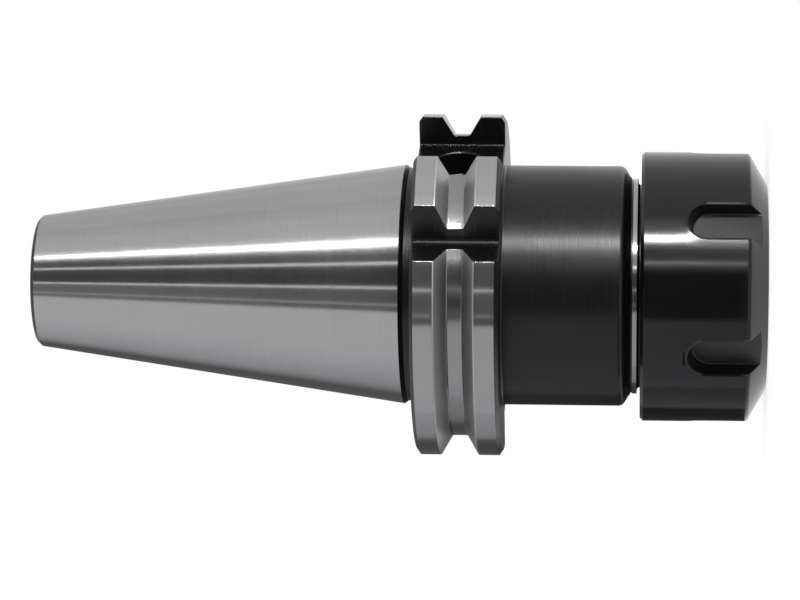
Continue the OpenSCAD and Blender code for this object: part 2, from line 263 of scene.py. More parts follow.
def flange_ring(r, z, eased):
    """The flange's outline at one height: a circle with two drive slots and a square notch.
    Each lip is rounded, and eased moves the walls back where they meet the flange's faces."""
    points = []

    def rim(a, b, pieces):
        """A stretch of the rim between two angles."""
        turn = np.linspace(a, b, pieces + 1)
        points.extend(zip(r * np.cos(turn), r * np.sin(turn)))

    def round_lip(cx, cy, a, b):
        """The rounding of a lip, round its own centre."""
        if b < a - math.pi:
            b += 2 * math.pi
        for t in np.linspace(a, b, 5)[1:-1]:
            points.append((cx + LIP_BREAK * math.cos(t), cy + LIP_BREAK * math.sin(t)))

    def lip_centre(wall, side):
        """How far out and how far across the rounding's centre lies, beside a milled wall."""
        across = wall + side * LIP_BREAK
        return math.sqrt((r - LIP_BREAK) ** 2 - across * across), across

    wall = SLOT_HALF + eased
    deep, shallow, notch = DEEP_FLOOR - eased, SHALLOW_FLOOR - eased, NOTCH_WALL - eased
    x_lip, y_lip = lip_centre(wall, 1)
    start = math.atan2(y_lip, x_lip)
    notch_far, notch_near = lip_centre(notch, -1)
    notch_first, notch_last = math.atan2(-notch_far, notch_near), math.atan2(-notch_near, notch_far)

    # the rim from the deep slot to the shallow one
    rim(start, math.pi - start, 110)
    round_lip(-x_lip, y_lip, math.pi - start, 1.5 * math.pi)
    points.append((-x_lip, wall))
    points.extend(slot_floor((-shallow, wall), (-shallow, -wall)))
    points.append((-x_lip, -wall))
    round_lip(-x_lip, -y_lip, 0.5 * math.pi, math.pi + start)
    # the rim from the shallow slot to the notch, and the notch
    rim(-math.pi + start, notch_first, 82)
    round_lip(notch_near, -notch_far, notch_first, 0)
    points.append((notch, -notch_far))
    corner = arc((notch + NOTCH_ROUND, -notch - NOTCH_ROUND), NOTCH_ROUND, 180, 90, 6)
    points.extend(corner)
    points.append((notch_far, -notch))
    round_lip(notch_far, -notch_near, -0.5 * math.pi, notch_last)
    # the rim from the notch to the deep slot
    rim(notch_last, -start, 18)
    round_lip(x_lip, -y_lip, -start, 0.5 * math.pi)
    points.append((x_lip, -wall))
    points.extend(slot_floor((deep, -wall), (deep, wall)))
    points.append((x_lip, wall))
    round_lip(x_lip, y_lip, -0.5 * math.pi, start)
    return np.array([(x, y, z) for x, y in points])


bm = bmesh.new()

# the flange's sides and groove, from its lower face to its upper one, as (radius, height, how
# far the milled walls are eased, the finish of the strip above)
rim_r = FLANGE_R - RIM_BREAK_R
eased_rim_r = rim_r + LIP_BREAK * RIM_BREAK_R / RIM_BREAK_Z
*groove, groove_end = groove_outline()
# the groove's walls take the paler steel with its painted light, and its floor the turned steel
flange_profile = [
    (rim_r, FLANGE_LOW, LIP_BREAK, BLACK),
    (eased_rim_r, FLANGE_LOW + LIP_BREAK, 0, BLACK),
    (FLANGE_R, FLANGE_LOW + RIM_BREAK_Z, 0, BRIGHT),
    *[(r, z, 0, FLANK_PAINTED_LIGHT if r > GROOVE_R + 0.1 else TURNED) for r, z in groove],
    (*groove_end, 0, BRIGHT),
    (FLANGE_R, FLANGE_TOP - RIM_BREAK_Z, 0, BLACK),
    (eased_rim_r, FLANGE_TOP - LIP_BREAK, 0, BLACK),
    (rim_r, FLANGE_TOP, LIP_BREAK, BLACK),
]
flange_rows = skin(
    bm,
    [flange_ring(r, z, eased) for r, z, eased, _ in flange_profile],
    [finish for *_, finish in flange_profile[:-1]],
)

# the data carrier's round hole, drilled into a stretch of the deep slot's floor
FLOOR_ACROSS, FLOOR_ALONG, HOLE_POINTS, DRILL_TIP_R = 5.8, 7.3, 64, 1.5


def in_floor(v):
    """Whether a vertex lies in the stretch of floor that is drilled."""
    x, y, z = v.co / MM
    up = z - (FLANGE_LOW + FLANGE_TOP) / 2
    return abs(x - DEEP_FLOOR) < 1e-4 and abs(y) < FLOOR_ACROSS and abs(up) < FLOOR_ALONG


def flat_fill(bm, edges, out):
    """Black triangles between closed loops of edges, facing the given way."""
    flat = bmesh.ops.triangle_fill(bm, edges=edges, use_beauty=True, use_dissolve=False)
    for face in (f for f in flat["geom"] if isinstance(f, bmesh.types.BMFace)):
        face.normal_update()
        if face.normal.dot(out) < 0:
            face.normal_flip()
        face.material_index = BLACK


floor = [f for f in bm.faces if all(in_floor(v) for v in f.verts)]
bmesh.ops.delete(bm, geom=floor, context="FACES")
rim = [e for e in bm.edges if e.is_boundary and all(in_floor(v) for v in e.verts)]
hole_floor, eased = DEEP_FLOOR - CARRIER_DEPTH, 0.15
hole = [
    (CARRIER_R + eased, DEEP_FLOOR), (CARRIER_R, DEEP_FLOOR - eased),
    (CARRIER_R, hole_floor + eased), (CARRIER_R - eased, hole_floor), (DRILL_TIP_R, hole_floor),
]
rings = [circle(r, x, HOLE_POINTS)[:, [2, 0, 1]] + (0, 0, GROOVE_Z) for r, x in hole]
rows = skin(bm, rings, [BLACK] * (len(hole) - 1))
bm.faces.new(rows[-1]).material_index = BLACK
rim += [bm.edges.get((v, rows[0][i - 1])) for i, v in enumerate(rows[0])]
flat_fill(bm, rim, Vector((1, 0, 0)))

# the milled walls and floors of the slots and the notch stay black: they lie deeper than the
# groove or don't face straight out
bm.normal_update()
for face in bm.faces:
    x, y, _ = face.calc_center_median() / MM
    from_axis = math.hypot(x, y)
    across = math.hypot(face.normal.x, face.normal.y)
    outwards = (face.normal.x * x + face.normal.y * y) / from_axis
    if from_axis < GROOVE_R - 0.05 or outwards < 0.93 * across:
        face.material_index = BLACK

# below the flange: the nose under the nut, the land, the hollow, the shoulder and the body
nose = [
    (SEAT_MOUTH_R, NOSE_Z), (NOSE_FACE_R, NOSE_Z), (NOSE_ROOT_R, NOSE_Z + 0.68),
    (NOSE_ROOT_R, LAND_Z - 2.1), (RELIEF_R, LAND_Z - 1.6), (RELIEF_R, LAND_Z - 0.35),
    (RELIEF_R + 0.3, LAND_Z), (LAND_R - 0.08, LAND_Z),
]
land = [(LAND_R, LAND_Z + 0.08)]
body = [
    (LAND_R, LAND_TOP_Z - 0.05), (LAND_FOOT_R, LAND_TOP_Z), (LAND_FOOT_R, LAND_TOP_Z + 0.28),
    (LAND_FOOT_R + 0.33, LAND_TOP_Z + 0.36),
    *arc((LAND_R + 0.95, LAND_TOP_Z), SHOULDER_HOLLOW, 150, 120, 4),
    *arc((BODY_R - SHOULDER_ROUND, LAND_TOP_Z + 2.57), SHOULDER_ROUND, -60, 0, 8),
    (BODY_R, 38.0),
    *arc((BODY_R + BODY_FILLET, FLANGE_LOW - BODY_FILLET), BODY_FILLET, 180, 90, 5),
]
points, finishes = stretches((nose, BLACK), (land, BRIGHT), (body, BLACK))
lower_rows = skin(bm, [circle(r, z, ROUND) for r, z in points], finishes)

# above it: the neck, the ground cone, the small end and the bore, down to the seat's mouth
neck = [
    *arc((NECK_R + NECK_FILLET, FLANGE_TOP + NECK_FILLET), NECK_FILLET, 270, 180, 5),
    (NECK_R, GAUGE_Z - 1.4), (shank_r(GAUGE_Z - 0.6) - 0.03, GAUGE_Z - 0.62),
]
cone = [(shank_r(z), z) for z in (GAUGE_Z - 0.55, *np.linspace(GAUGE_Z + 6, SHANK_END - 6, 10))]
cone_end_r = shank_r(SHANK_END - END_CHAMFER)
bore = [
    (cone_end_r, SHANK_END - END_CHAMFER), (cone_end_r - END_CHAMFER, SHANK_END),
    (PILOT_R + BORE_BREAK, SHANK_END), (PILOT_R, SHANK_END - BORE_BREAK),
    (PILOT_R, PILOT_LOW), (STUD_BORE_R, STUD_TOP), (STUD_BORE_R, STUD_LOW),
    (COOLANT_R, COOLANT_TOP), (COOLANT_R, COOLANT_LOW),
    (STOP_BORE_R, STOP_BORE_TOP), (STOP_BORE_R, STOP_BORE_LOW),
]
seat = [(seat_r(SEAT_END), SEAT_END), (seat_r(SEAT_LOW), SEAT_LOW), (SEAT_MOUTH_R, NOSE_Z)]
points, finishes = stretches((neck, BLACK), (cone, BRIGHT), (bore, BLACK), (seat, BRIGHT))
upper_rows = skin(bm, [circle(r, z, ROUND) for r, z in points], finishes)

# the flange's two faces, between the body or the neck and the milled outline
for inner, outer, up in ((lower_rows[-1], flange_rows[0], -1), (upper_rows[0], flange_rows[-1], 1)):
    loops = [bm.edges.get((v, row[i - 1])) for row in (inner, outer) for i, v in enumerate(row)]
    flat_fill(bm, loops, Vector((0, 0, up)))

finished(
    "holder_body_turned", bm, [ground_steel, black_body, groove_steel, flank_painted_light],
    "holder", "holder_body",
)

# THE HOLDER'S THREADS
# The nose has a single-start 40 x 1.5 thread for the nut, cut on the lathe. The small end has
# a 16 x 2 thread for the pull stud. Both are right-handed and fade out at their ends.


def geometry_tree(name, inputs, has_geometry=False):
    """A Geometry Nodes tree with named inputs, as (tree, input node, output node)."""
    tree = bpy.data.node_groups.new(name, "GeometryNodeTree")
    if has_geometry:
        tree.interface.new_socket("Geometry", in_out="INPUT", socket_type="NodeSocketGeometry")
    for label, kind in inputs:
        tree.interface.new_socket(label, in_out="INPUT", socket_type=kind)
    tree.interface.new_socket("Geometry", in_out="OUTPUT", socket_type="NodeSocketGeometry")
    return tree, node(tree, "NodeGroupInput"), node(tree, "NodeGroupOutput")


def grown(tree, values, mesh=None):
    """The plain mesh that a tree makes from its inputs' values, and from a mesh if it takes one."""
    carrier = bpy.data.objects.new("carrier", mesh or bpy.data.meshes.new("carrier"))
    bpy.context.scene.collection.objects.link(carrier)
    grow = carrier.modifiers.new("grow", "NODES")
    grow.node_group = tree
    for item in tree.interface.items_tree:
        if item.in_out == "INPUT" and item.name in values:
            grow[item.identifier] = values[item.name]
    result = bpy.data.meshes.new_from_object(
        carrier.evaluated_get(bpy.context.evaluated_depsgraph_get())
    )
    carrier.modifiers.remove(grow)
    bpy.data.objects.remove(carrier)
    return result


FLOAT, WHOLE, MATERIAL = "NodeSocketFloat", "NodeSocketInt", "NodeSocketMaterial"
thread_tree, given, made = geometry_tree(
    "thread_ridge",
    [("Root Radius", FLOAT), ("Pitch", FLOAT), ("Turns", FLOAT), ("Depth", FLOAT),
     ("Base Width", FLOAT), ("Crest Width", FLOAT), ("Start Height", FLOAT),
     ("Start Angle", FLOAT), ("Outward", FLOAT), ("Finish", MATERIAL)],
)
rise = node(
    thread_tree, "ShaderNodeMath", {0: given.outputs["Pitch"], 1: given.outputs["Turns"]},
    operation="MULTIPLY",
)
helix = node(
    thread_tree, "GeometryNodeCurveSpiral",
    {"Resolution": 96, "Rotations": given.outputs["Turns"], "Height": rise.outputs[0],
     "Start Radius": given.outputs["Root Radius"], "End Radius": given.outputs["Root Radius"],
     "Reverse": False},
)
upright = node(thread_tree, "GeometryNodeSetCurveNormal", {"Curve": helix.outputs[0]})
# the ridge shrinks to almost nothing over the first and the last 3% of its length
along = node(thread_tree, "GeometryNodeSplineParameter").outputs["Factor"]
rest_of = node(thread_tree, "ShaderNodeMath", {0: 1.0, 1: along}, operation="SUBTRACT")
nearer = node(thread_tree, "ShaderNodeMath", {0: along, 1: rest_of.outputs[0]}, operation="MINIMUM")
fade = node(
    thread_tree, "ShaderNodeMapRange",
    {"Value": nearer.outputs[0], "From Max": 0.03, "To Min": 0.04, "To Max": 1.0},
)
faded = node(
    thread_tree, "GeometryNodeSetCurveRadius",
    {"Curve": upright.outputs[0], "Radius": fade.outputs[0]},
)
ridge = node(
    thread_tree, "GeometryNodeCurvePrimitiveQuadrilateral",
    {"Height": given.outputs["Depth"], "Bottom Width": given.outputs["Base Width"],
     "Top Width": given.outputs["Crest Width"], "Offset": 0.0},
    mode="TRAPEZOID",
)
# it stands on the root with its foot a little way in, and a quarter turn points it out or in
half_depth = node(
    thread_tree, "ShaderNodeMath", {0: given.outputs["Depth"], 1: 0.47}, operation="MULTIPLY"
)
lifted_by = node(thread_tree, "ShaderNodeCombineXYZ", {1: half_depth.outputs[0]})
lifted = node(
    thread_tree, "GeometryNodeTransform",
    {"Geometry": ridge.outputs[0], "Translation": lifted_by.outputs[0]},
)
quarter = node(
    thread_tree, "ShaderNodeMath", {0: given.outputs["Outward"], 1: -math.pi / 2},
    operation="MULTIPLY",
)
lean_by = node(thread_tree, "ShaderNodeCombineXYZ", {2: quarter.outputs[0]})
leaned = node(
    thread_tree, "GeometryNodeTransform",
    {"Geometry": lifted.outputs[0], "Rotation": lean_by.outputs[0]},
)
swept = node(
    thread_tree, "GeometryNodeCurveToMesh",
    {"Curve": faded.outputs[0], "Profile Curve": leaned.outputs[0], "Fill Caps": True},
)
start = node(thread_tree, "ShaderNodeCombineXYZ", {2: given.outputs["Start Height"]})
angle = node(thread_tree, "ShaderNodeCombineXYZ", {2: given.outputs["Start Angle"]})
moved = node(
    thread_tree, "GeometryNodeTransform",
    {"Geometry": swept.outputs[0], "Translation": start.outputs[0], "Rotation": angle.outputs[0]},
)
real = node(thread_tree, "GeometryNodeRealizeInstances", {0: moved.outputs[0]})
coated = node(
    thread_tree, "GeometryNodeSetMaterial",
    {"Geometry": real.outputs[0], "Material": given.outputs["Finish"]},
)
thread_tree.links.new(coated.outputs[0], made.inputs[0])


def thread(
    name, finish, body, replaced, root_r, pitch, low, high, depth, outward, widths, shift=0.0
):
    """One thread between two heights in mm. Its ridge is as wide as the two widths say at its
    foot and its crest, stands outwards (1) or inwards (-1), and is moved up by the shift."""
    made = grown(thread_tree, {
        "Root Radius": root_r * MM, "Pitch": pitch * MM, "Turns": (high - low) / pitch,
        "Depth": depth * MM, "Base Width": widths[0] * MM, "Crest Width": widths[1] * MM,
        "Start Height": low * MM, "Start Angle": 2 * math.pi * (low - shift) / pitch,
        "Outward": float(outward), "Finish": finish,
    })
    bm = bmesh.new()
    bm.from_mesh(made)
    bpy.data.meshes.remove(made)
    bmesh.ops.recalc_face_normals(bm, faces=bm.faces)
    return finished(name, bm, [finish], body, replaced)


FINE_PITCH, FINE_DEPTH, FINE_WIDTHS = 1.5, 0.92, (1.2, 0.16)
thread(
    "nose_thread", black_body, "holder", "holder_body",
    root_r=NOSE_ROOT_R, pitch=FINE_PITCH, low=NOSE_Z + 0.9, high=LAND_Z - 2.4,
    depth=FINE_DEPTH, outward=1, widths=FINE_WIDTHS,
)
thread(
    "pull_stud_thread", black_body, "holder", "holder_body",
    root_r=STUD_BORE_R, pitch=2.0, low=STUD_LOW + 0.7, high=STUD_TOP - 0.3,
    depth=1.08, outward=-1, widths=(1.6, 0.36),
)

# THE CLAMPING NUT
# A turned ring of case-hardened steel with a wide chamfer in front and six spanner slots that
# an end mill cuts from the front. It is polished, then blackened, and its slots have broken
# lips. An off-centre lip inside it draws the collet out.

NUT_TURN = math.radians(27)
NUT_R, NUT_FACE_R, NUT_LEN = 25.0, 19.1, 23.1
# The front chamfer's rise for each millimetre of radius, and the rounding of its outer edge
CHAMFER_RATE, EDGE_ROUND = math.tan(math.radians(30)), 0.8
# The rear chamfer's reach, to the far and the near side of its rounded edges, and their depth
REAR_FAR, REAR_NEAR, REAR_EASE = 0.62, 0.57, 0.02
# A slot's half width, the distance from the axis to its floor and the height of its round end
SLOTS, SLOT_R, SLOT_FLOOR, SLOT_CENTRE = 6, 3.5, 21.1, 11.1
# Its lip's width and slope, the fillet at its floor, and how far the floor's end stays back
SLOT_LIP, LIP_SLOPE, SLOT_FILLET, END_LEAN = 0.42, 0.35, 0.2, 0.75
# Steps round its end, columns of faces beside it and the height that they reach
SLOT_TURN, EDGE_COLUMNS, REAR_Z = 20, 6, 17.8
# Radii inside, and how far the pull-out lip's hole lies off the axis
MOUTH_R, POCKET_R, LIP_R, NUT_ROOT_R, COUNTERBORE_R = 15.114, 16.8, 15.9, 20.08, 20.38
LIP_OFF = 1.0
# Heights inside, of the clamping cone, the lip and the thread's end
CONE_LOW, CONE_TOP, LIP_LOW, LIP_TOP, NUT_THREAD_TOP = 0.4, 3.32, 3.95, 6.75, 21.7

black_nut = turned_finish(
    "black_oxide_nut", dark=(0.002, 0.002, 0.0021), light=(0.0045, 0.0046, 0.005),
    rough=(0.11, 0.16), ring_scale=5200.0, ring_depth=0.15, ior=1.38,
)
slot_floor_black = turned_finish(
    "milled_slot_floor", dark=(0.002, 0.002, 0.002), light=(0.004, 0.004, 0.004),
    rough=(0.46, 0.52), ring_scale=3000.0, ring_depth=0.3, ior=1.55,
)

chamfer_h = (NUT_R - NUT_FACE_R) * CHAMFER_RATE
round_z = chamfer_h + EDGE_ROUND * math.tan(math.radians(30))
round_low = round_z - EDGE_ROUND * math.sin(math.radians(60))


def nut_r(z):
    """The nut's outside radius at a height: front chamfer, rounded edge and side."""
    if z < round_low:
        return NUT_FACE_R + z / CHAMFER_RATE
    if z < round_z:
        return NUT_R - EDGE_ROUND + math.sqrt(EDGE_ROUND**2 - (round_z - z) ** 2)
    return NUT_R


# Half of a slot's cross-section below its lip: the wall's foot, the fillet and the floor, as
# (distance from the slot's middle, distance from the nut's axis)
half_section = [
    (SLOT_R - SLOT_FILLET * (1 - math.cos(t)), SLOT_FLOOR + SLOT_FILLET * (1 - math.sin(t)))
    for t in np.radians((0, 30, 60, 90))
] + [((SLOT_R - SLOT_FILLET) * v, SLOT_FLOOR) for v in (0.8, 0.6, 0.4, 0.2)]
section = half_section + [(0.0, SLOT_FLOOR)] + [(-y, x) for y, x in half_section[::-1]]


def cut_height(y, x):
    """Where a line of the slot along the axis runs out through the nut's front chamfer."""
    return (math.hypot(x, y) - NUT_FACE_R) * CHAMFER_RATE


# Heights of the rows on the outside, up to the slots' round ends and closest at the round edge
wall_low = cut_height(*section[0])
levels = (
    [0.0, wall_low / 2, wall_low, 2.0, 2.6]
    + [round_z - EDGE_ROUND * math.sin(t) for t in np.radians((60, 48, 36, 24, 12, 0))]
    + [5.5, 7.2, 9.0, SLOT_CENTRE]
)
floor_centre = SLOT_CENTRE - END_LEAN


def lip_width(z):
    """The slot's broken lip, which fades out down the front chamfer."""
    return SLOT_LIP * min(1.0, max(0.0, (z - wall_low) / (round_low - wall_low)))


def lip_points(z, y_scale=1.0, z_lift=0.0):
    """The two edges of the broken lip; past the straight part they follow the round end."""
    broken = lip_width(z)
    y_out, y_in = (SLOT_R + broken) * y_scale, SLOT_R * y_scale
    x_out = math.sqrt(nut_r(z) ** 2 - y_out * y_out)
    return (
        (x_out, y_out, z + (SLOT_R + broken) * z_lift),
        (x_out - broken * LIP_SLOPE, y_in, z + SLOT_R * z_lift),
    )


def slot_row(z, turn=0.0):
    """Points right across a slot, at one height or at one angle of its round end."""
    near, far = math.cos(turn), math.sin(turn)
    right = lip_points(z, near, far)
    row = []
    for y, x in section:
        if turn:
            reach = max(abs(y), SLOT_R - SLOT_FILLET)
            row.append((x, y * near, floor_centre + reach * far))
        else:
            low = cut_height(y, x)
            share = (z - wall_low) / (SLOT_CENTRE - wall_low)
            row.append((x, y, low + share * (floor_centre - low)))
    left = [(x, -y, h) for x, y, h in right[::-1]]
    return [*right, *row, *left]


def round_place(turn, z):
    """The point on the nut's outside at an angle and a height."""
    r = nut_r(z)
    return (r * math.cos(turn), r * math.sin(turn), z)


bm = bmesh.new()
# the slot itself
rows = [slot_row(z) for z in levels[2:]]
rows += [slot_row(SLOT_CENTRE, t) for t in np.radians(np.linspace(0, 90, SLOT_TURN + 1))[1:]]
skin(bm, rows, closed=False)
# the strips beside it, from its lips to the middle of the lands
edge_turn = math.pi / SLOTS
for side in (1, -1):
    rows = []
    for z in levels:
        x, y, _ = lip_points(z)[0] if z > wall_low else (section[0][1], section[0][0], 0)
        turns = np.linspace(math.atan2(y, x), edge_turn, EDGE_COLUMNS + 1)
        rows.append([round_place(side * t, z) for t in turns])
    skin(bm, rows, closed=False)
# the chamfer below its floor
rows = []
for share in (0.0, 0.5, 1.0):
    rows.append([round_place(math.atan2(y, x), cut_height(y, x) * share) for y, x in section])
skin(bm, rows, closed=False)
# the side round its end, from the lip to a square, and the plain stretch behind it
reach, half = SLOT_R + SLOT_LIP, SLOT_TURN // 2
rows = []
for k in range(2 * SLOT_TURN + 1):
    turn = math.pi / 2 * k / SLOT_TURN
    lip = (math.asin(reach * math.cos(turn) / NUT_R), SLOT_CENTRE + reach * math.sin(turn))
    up = min(1.0, min(k, 2 * SLOT_TURN - k) / half)
    over = max(-1.0, min(1.0, (SLOT_TURN - k) / half))
    far = (edge_turn * over, SLOT_CENTRE + (REAR_Z - SLOT_CENTRE) * up)
    rows.append([
        round_place(lip[0] + (far[0] - lip[0]) * f, lip[1] + (far[1] - lip[1]) * f)
        for f in np.linspace(0, 1, EDGE_COLUMNS + 1)
    ])
skin(bm, rows, closed=False)
turns = np.linspace(edge_turn, -edge_turn, SLOT_TURN + 1)
rear = [
    (NUT_R, REAR_Z), (NUT_R, NUT_LEN - REAR_FAR), (NUT_R - REAR_EASE, NUT_LEN - REAR_NEAR),
    (NUT_R - REAR_NEAR, NUT_LEN - REAR_EASE), (NUT_R - REAR_FAR, NUT_LEN),
]
rows = [[(r * math.cos(t), r * math.sin(t), z) for t in turns] for r, z in rear]
skin(bm, rows, closed=False)
bmesh.ops.remove_doubles(bm, verts=bm.verts, dist=1e-7)
sector = bpy.data.meshes.new("nut_sector")
bm.to_mesh(sector)
bm.free()

# six such sectors make the outside
round_tree, given, made = geometry_tree(
    "sectors_round", [("Count", WHOLE), ("Finish", MATERIAL)], has_geometry=True
)
spots = node(round_tree, "GeometryNodePoints", {"Count": given.outputs["Count"]})
index = node(round_tree, "GeometryNodeInputIndex")
step = node(
    round_tree, "ShaderNodeMath", {0: 2 * math.pi, 1: given.outputs["Count"]}, operation="DIVIDE"
)
turn = node(
    round_tree, "ShaderNodeMath", {0: index.outputs[0], 1: step.outputs[0]}, operation="MULTIPLY"
)
turned_by = node(round_tree, "ShaderNodeCombineXYZ", {2: turn.outputs[0]})
copies = node(
    round_tree, "GeometryNodeInstanceOnPoints",
    {"Points": spots.outputs[0], "Instance": given.outputs["Geometry"],
     "Rotation": turned_by.outputs[0]},
)
real = node(round_tree, "GeometryNodeRealizeInstances", {0: copies.outputs[0]})
merged = node(
    round_tree, "GeometryNodeMergeByDistance", {"Geometry": real.outputs[0], "Distance": 1e-6}
)
coated = node(
    round_tree, "GeometryNodeSetMaterial",
    {"Geometry": merged.outputs[0], "Material": given.outputs["Finish"]},
)
round_tree.links.new(coated.outputs[0], made.inputs[0])

# the inside: mouth, clamping cone, pocket, off-centre lip, thread root and rear counterbore
around = np.linspace(0, 2 * math.pi, SLOTS * SLOT_TURN, endpoint=False)
lip_hole = LIP_OFF * np.cos(around) + np.sqrt(LIP_R**2 - (LIP_OFF * np.sin(around)) ** 2)
pocket = np.maximum(lip_hole, POCKET_R)
bm = bmesh.new()
bm.from_mesh(grown(round_tree, {"Count": SLOTS, "Finish": black_nut}, sector))
inside = [
    (MOUTH_R + 0.186, 0.0), (MOUTH_R, 0.19), (MOUTH_R, CONE_LOW), (POCKET_R, CONE_TOP),
    (POCKET_R, LIP_LOW - 0.25), (pocket, LIP_LOW - 0.25), (pocket, LIP_LOW), (lip_hole, LIP_LOW),
    (lip_hole, LIP_TOP), (NUT_ROOT_R, LIP_TOP), (NUT_ROOT_R, NUT_THREAD_TOP),
    (COUNTERBORE_R, NUT_THREAD_TOP + 0.3), (COUNTERBORE_R, NUT_LEN - 0.25),
    (COUNTERBORE_R + 0.22, NUT_LEN), (NUT_R - REAR_FAR, NUT_LEN),
]
skin(bm, [circle(r, z, len(around)) for r, z in inside])
bmesh.ops.remove_doubles(bm, verts=bm.verts, dist=1e-6)
front = [e for e in bm.edges if e.is_boundary and all(abs(v.co.z) < 1e-7 for v in e.verts)]
bmesh.ops.triangle_fill(bm, edges=front, use_beauty=True, use_dissolve=False)
bmesh.ops.recalc_face_normals(bm, faces=bm.faces)
bmesh.ops.rotate(bm, verts=bm.verts, cent=(0, 0, 0), matrix=Matrix.Rotation(NUT_TURN, 3, "Z"))


def on_slot_floor(v):
    """Whether a vertex is as far out as the slots' floors are, square to the nearest slot."""
    from_slot = (math.atan2(v.co.y, v.co.x) - NUT_TURN + edge_turn) % (2 * edge_turn) - edge_turn
    return abs(math.hypot(v.co.x, v.co.y) * math.cos(from_slot) - SLOT_FLOOR * MM) < 1e-6


for face in bm.faces:
    on_floor = all(on_slot_floor(v) for v in face.verts) and abs(face.normal.z) < 0.3
    face.material_index = 1 if on_floor else 0
finished(
    "clamping_nut_turned", bm, [black_nut, slot_floor_black], "nut",
    "clamping_nut", crease=20.0,
)

thread(
    "nut_thread", black_nut, "nut", "clamping_nut",
    root_r=NUT_ROOT_R, pitch=FINE_PITCH, low=LIP_TOP + 0.85, high=NUT_THREAD_TOP - 0.5,
    depth=FINE_DEPTH, outward=-1, widths=FINE_WIDTHS, shift=FINE_PITCH / 2,
)

# THE SPRING COLLET
# A hardened and ground sleeve of spring steel with a long taper behind and a short one in
# front. Eight slots from each end, sawn by turns, let it close on a tool.

COLLET_SLOTS, SAW_HALF = 8, 0.6
COLLET_R, BORE_R, PULL_R, EDGE = 16.5, 8.0, 14.6, 0.3
FRONT_Z, PULL_LOW, PULL_TOP, BACK_Z = 0.4, 3.7, 7.0, 40.4
# Heights where the slots from the rear and those from the front end, and the head cone's length
FRONT_WEB_Z, REAR_WEB_Z, HEAD_CONE_H = 9.4, 34.4, 2.7

spring_steel = turned_finish(
    "spring_steel", dark=(0.42, 0.42, 0.425), light=(0.52, 0.52, 0.525), rough=(0.17, 0.24),
    ring_scale=12000.0, ring_depth=0.12, brushed=0.9,
)


def taper_r(z):
    """The collet's radius at a height, on its long taper."""
    return COLLET_R - (z - PULL_TOP) * math.tan(math.radians(8))


# The section as a closed line, from the bore's front edge outwards, back, and in again
face_r = COLLET_R - HEAD_CONE_H * math.tan(math.radians(30))
outline = [
    (BORE_R, FRONT_Z + EDGE), (BORE_R + EDGE, FRONT_Z), (face_r - 0.12, FRONT_Z),
    (face_r + 0.1, FRONT_Z + 0.12), (COLLET_R - 0.04, 3.03), (COLLET_R, 3.16), (COLLET_R, 3.62),
    (COLLET_R - 0.08, PULL_LOW), (PULL_R + 0.1, PULL_LOW), (PULL_R, PULL_LOW + 0.1),
    (PULL_R, PULL_TOP - 0.1), (PULL_R + 0.1, PULL_TOP), (COLLET_R - EDGE, PULL_TOP),
    *[(taper_r(z), z) for z in (PULL_TOP + EDGE, FRONT_WEB_Z, 17.0, 26.0, REAR_WEB_Z)],
    (taper_r(BACK_Z - EDGE), BACK_Z - EDGE),
    (taper_r(BACK_Z) - EDGE, BACK_Z), (BORE_R + EDGE, BACK_Z), (BORE_R, BACK_Z - EDGE),
    (BORE_R, REAR_WEB_Z), (BORE_R, FRONT_WEB_Z),
]
# Its points at the heights where slots end, on the taper and in the bore
outer_front = outline.index((taper_r(FRONT_WEB_Z), FRONT_WEB_Z))
outer_rear = outline.index((taper_r(REAR_WEB_Z), REAR_WEB_Z))
bore_rear, bore_front = outline[-2:]

# Slots from the front lie at the middle of a sector, and slots from the rear at its edges
bm = bmesh.new()
half = math.pi / COLLET_SLOTS


def front_slot(r):
    """The half slot from the front at a radius: its middle and its wall, as angles."""
    return 0, math.asin(SAW_HALF / r)


def rear_slot(r):
    """The half slot from the rear at a radius: its wall and its middle."""
    return half - math.asin(SAW_HALF / r), half


for side in (1, -1):

    def strip(line, turns_at):
        """A row of points for each point of a line, at the angles given for its radius."""
        skin(bm, [
            [(r * math.cos(t), side * r * math.sin(t), z) for t in turns_at(r)] for r, z in line
        ], closed=False)

    strip(outline + outline[:1], lambda r: np.linspace(front_slot(r)[1], rear_slot(r)[0], 7))
    # the rings of solid steel that the slots stop at, and the slots' ends
    strip(outline[outer_rear:-1], front_slot)
    strip([bore_front] + outline[: outer_front + 1], rear_slot)
    strip([(BORE_R, REAR_WEB_Z), (taper_r(REAR_WEB_Z), REAR_WEB_Z)], front_slot)
    strip([(BORE_R, FRONT_WEB_Z), (taper_r(FRONT_WEB_Z), FRONT_WEB_Z)], rear_slot)
    # their sawn walls
    front_wall = [bore_front] + outline[: outer_rear + 1] + [bore_rear]
    walls = [[(r, front_slot(r)[1], z) for r, z in front_wall]]
    walls += [[(r, rear_slot(r)[0], z) for r, z in outline[outer_front:]]]
    for wall in walls:
        corners = [(r * math.cos(t), side * r * math.sin(t), z) for r, t, z in wall]
        face = bm.faces.new([bm.verts.new(np.array(corner) * MM) for corner in corners])
        bmesh.ops.triangulate(bm, faces=[face])
bmesh.ops.remove_doubles(bm, verts=bm.verts, dist=1e-7)
sector = bpy.data.meshes.new("collet_sector")
bm.to_mesh(sector)
bm.free()
bm = bmesh.new()
bm.from_mesh(grown(round_tree, {"Count": COLLET_SLOTS, "Finish": spring_steel}, sector))
bmesh.ops.recalc_face_normals(bm, faces=bm.faces)
finished(
    "spring_collet_ground", bm, [spring_steel], "collet", "spring_collet",
    crease=25.0,
)

# THE STOP SCREW
# A blackened steel grub screw with a 22 x 1.5 thread, a hexagon socket towards the collet and
# a coolant hole right through. The tool's shank bears on it inside the body.

STOP_LOW, STOP_TOP, SOCKET_END, DRILL_END = 52.0, 66.0, 59.0, 60.0
STOP_ROOT_R, HOLE_R, HEX_HALF, STOP_POINTS = 10.08, 2.5, 5.0, 72
ROOT_BREAK, HOLE_BREAK = 0.48, 0.3

